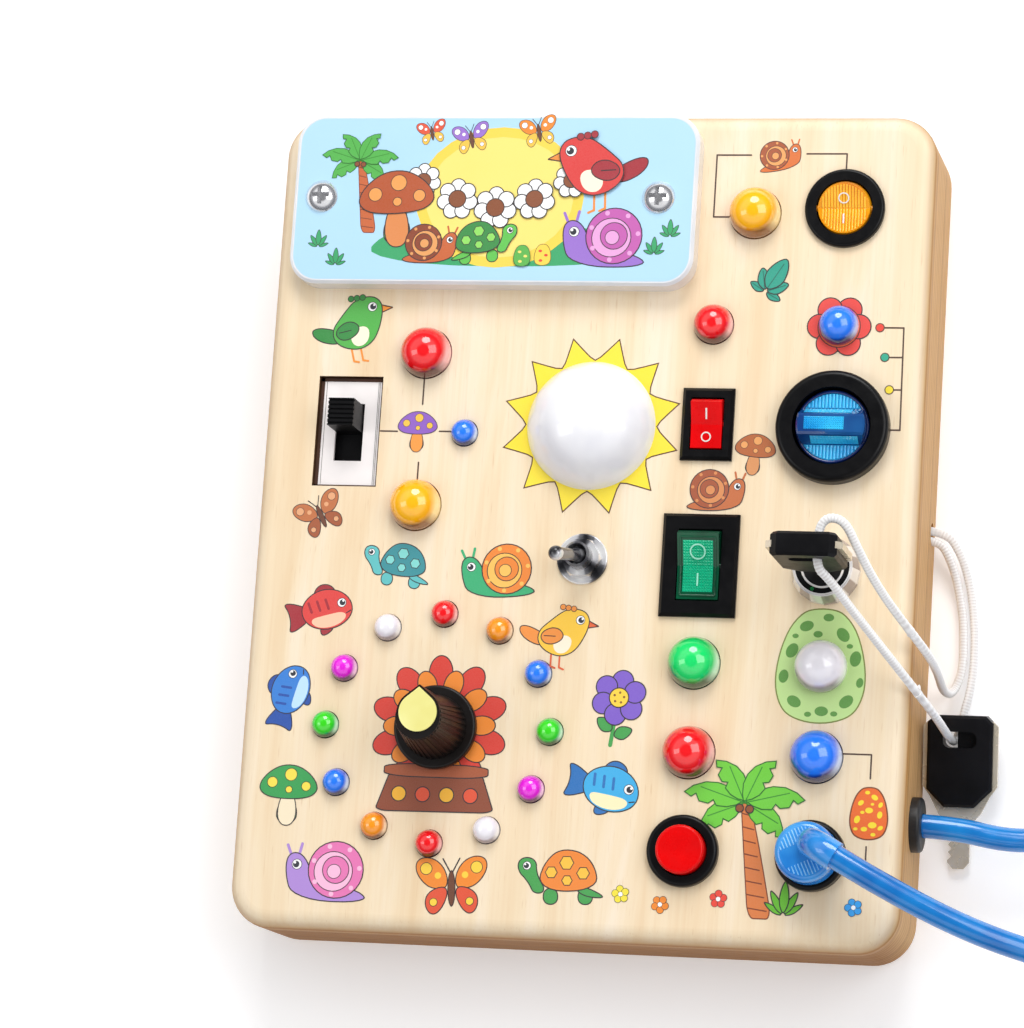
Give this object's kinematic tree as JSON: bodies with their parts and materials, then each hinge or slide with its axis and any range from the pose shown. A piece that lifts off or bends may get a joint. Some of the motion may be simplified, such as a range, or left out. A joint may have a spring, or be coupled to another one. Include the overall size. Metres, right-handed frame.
{
  "type": "busy board",
  "caption": "Child's wooden busy board: laminated case with coloured lights, rocker, slide, toggle, selector and rotary switches, a key switch with lanyard, a push button and a plug on a hose.",
  "frame": {"origin": "centre of the back face, on the surface that the board lies on", "axes": "+Z out of the front face, +X to the board's right, +Y to the board's top"},
  "size_m": [0.3332, 0.2604, 0.08],
  "materials": {
    "birch_face": "satin, pale birch plywood",
    "birch_frame": "satin, birch layers",
    "cream_back": "satin, painted cream",
    "sky_plate": "gloss, light blue with a white edge",
    "screw_steel": "polished",
    "tray_plastic": "matte",
    "cell_jacket": "gloss",
    "contact_steel": "satin",
    "lens_red": "clear gloss",
    "lens_orange": "clear gloss",
    "lens_yellow": "clear gloss",
    "lens_green": "clear gloss",
    "lens_blue": "clear gloss",
    "lens_magenta": "clear gloss",
    "lens_white": "milky gloss",
    "dome_white": "milky gloss",
    "circuit_board": "satin",
    "wire_jacket": "satin",
    "switch_plate": "satin",
    "black_satin": "satin",
    "black_gloss": "gloss",
    "rocker_amber": "clear gloss",
    "rocker_red": "gloss",
    "rocker_green": "clear gloss",
    "selector_blue": "gloss",
    "shaft_plastic": "satin",
    "toggle_nickel": "polished nickel",
    "shaft_steel": "satin",
    "knob_dark": "gloss",
    "cap_cream": "satin",
    "lock_chrome": "polished",
    "barrel_black": "satin",
    "nut_steel": "satin",
    "key_nickel": "polished nickel",
    "key_black": "satin",
    "button_red": "gloss",
    "clear_blue": "clear gloss",
    "pin_brass": "polished",
    "hose_blue": "clear gloss",
    "grommet_rubber": "satin",
    "cord_white": "woven"
  },
  "bodies": {
    "case": {"front_panel": "birch_face", "middle_frame": "birch_frame", "back_frame": "birch_frame", "back_cover": "cream_back", "battery_cover": "sky_plate", "battery_cover_screws": "screw_steel", "battery_tray": "tray_plastic", "batteries": "cell_jacket", "battery_contacts": "contact_steel", "push_button_spring": "contact_steel", "lights_red": "lens_red", "lights_orange": "lens_orange", "lights_yellow": "lens_yellow", "lights_green": "lens_green", "lights_blue": "lens_blue", "lights_magenta": "lens_magenta", "lights_white": "lens_white", "sun_dome": "dome_white", "lamp_boards": "circuit_board", "control_board": "circuit_board", "internal_wires": "wire_jacket", "slide_switch_frame": "switch_plate", "slide_switch_body": "black_satin", "rotary_switch_body": "black_satin", "amber_rocker_housing": "black_gloss", "red_rocker_housing": "black_gloss", "green_rocker_housing": "black_gloss", "selector_housing": "black_gloss", "push_button_housing": "black_gloss", "plug_socket": "black_gloss", "toggle_switch_body": "toggle_nickel", "toggle_washer": "toggle_nickel", "toggle_nut": "toggle_nickel", "key_lock_housing": "lock_chrome", "key_lock_nut": "nut_steel", "spare_key_blade": "key_nickel", "spare_key_bow": "key_black", "hose": "hose_blue", "side_grommet": "grommet_rubber", "lanyard_lower_strand": "cord_white", "lanyard_upper_strand": "cord_white", "lanyard_knot": "cord_white"},
    "slide_handle": {"slide_switch_handle": "black_satin"},
    "amber_paddle": {"amber_rocker": "rocker_amber"},
    "red_paddle": {"red_rocker": "rocker_red"},
    "green_paddle": {"green_rocker": "rocker_green"},
    "selector": {"selector_knob": "selector_blue", "selector_shaft": "shaft_plastic"},
    "toggle": {"toggle_lever": "toggle_nickel"},
    "knob": {"rotary_knob": "knob_dark", "knob_cap": "cap_cream", "rotary_shaft": "shaft_steel"},
    "push_cap": {"push_button_cap": "button_red"},
    "key_carriage": {"lanyard_key_loop": "cord_white"},
    "key": {"key_blade": "key_nickel", "key_bow": "key_black"},
    "lock_barrel": {"key_lock_barrel": "barrel_black"},
    "plug": {"hose_plug": "clear_blue", "plug_pin": "pin_brass"}
  },
  "joints": [
    {"name": "slide_switch_travel", "type": "slide", "parent": "case", "child": "slide_handle", "axis": [0, 1, 0], "range_m": [-0.0078, 0]},
    {"name": "amber_rocker_tilt", "type": "hinge", "parent": "case", "child": "amber_paddle", "pos_m": [0.0715, 0.0919, 0.0384], "axis": [1, 0, 0], "range_deg": [-24, 0]},
    {"name": "red_rocker_tilt", "type": "hinge", "parent": "case", "child": "red_paddle", "pos_m": [0.03533, 0.02824, 0.0384], "axis": [1, 0, 0], "range_deg": [-24, 0]},
    {"name": "green_rocker_tilt", "type": "hinge", "parent": "case", "child": "green_paddle", "pos_m": [0.03533, -0.01259, 0.0384], "axis": [1, 0, 0], "range_deg": [-24, 0]},
    {"name": "selector_turn", "type": "hinge", "parent": "case", "child": "selector", "pos_m": [0.0715, 0.02768, 0.0406], "axis": [0, 0, 1], "range_deg": [-45, 45]},
    {"name": "toggle_tilt", "type": "hinge", "parent": "case", "child": "toggle", "pos_m": [0.0013, -0.01148, 0.0445], "axis": [0.5592, -0.829, 0], "range_deg": [-30, 0]},
    {"name": "knob_turn", "type": "hinge", "parent": "case", "child": "knob", "pos_m": [-0.03801, -0.06131, 0.0605], "axis": [0, 0, 1], "range_deg": [-330, 0]},
    {"name": "push_button_travel", "type": "slide", "parent": "case", "child": "push_cap", "axis": [0, 0, -1], "range_m": [0, 0.0028], "stiffness_N_per_m": 300, "springref_m": -0.003, "deforming": ["push_button_spring"]},
    {"name": "key_pull", "type": "slide", "parent": "case", "child": "key_carriage", "axis": [0, 0, 1], "range_m": [0, 0.026], "deforming": ["lanyard_lower_strand", "lanyard_upper_strand"]},
    {"name": "key_turn", "type": "hinge", "parent": "key_carriage", "child": "key", "pos_m": [0.0715, -0.01315, 0.045], "axis": [0, 0, 1], "range_deg": [-90, 0], "deforming": ["lanyard_key_loop"]},
    {"name": "lock_barrel_turn", "type": "hinge", "parent": "case", "child": "lock_barrel", "pos_m": [0.0715, -0.01315, 0.045], "axis": [0, 0, 1], "range_deg": [-90, 0]},
    {"name": "plug_pull", "type": "slide", "parent": "case", "child": "plug", "axis": [0, 0, 1], "range_m": [0, 0.014], "deforming": ["hose"]}
  ],
  "couplings": [
    {"joint": "lock_barrel_turn", "follows": "key_turn", "ratio": 1}
  ]
}
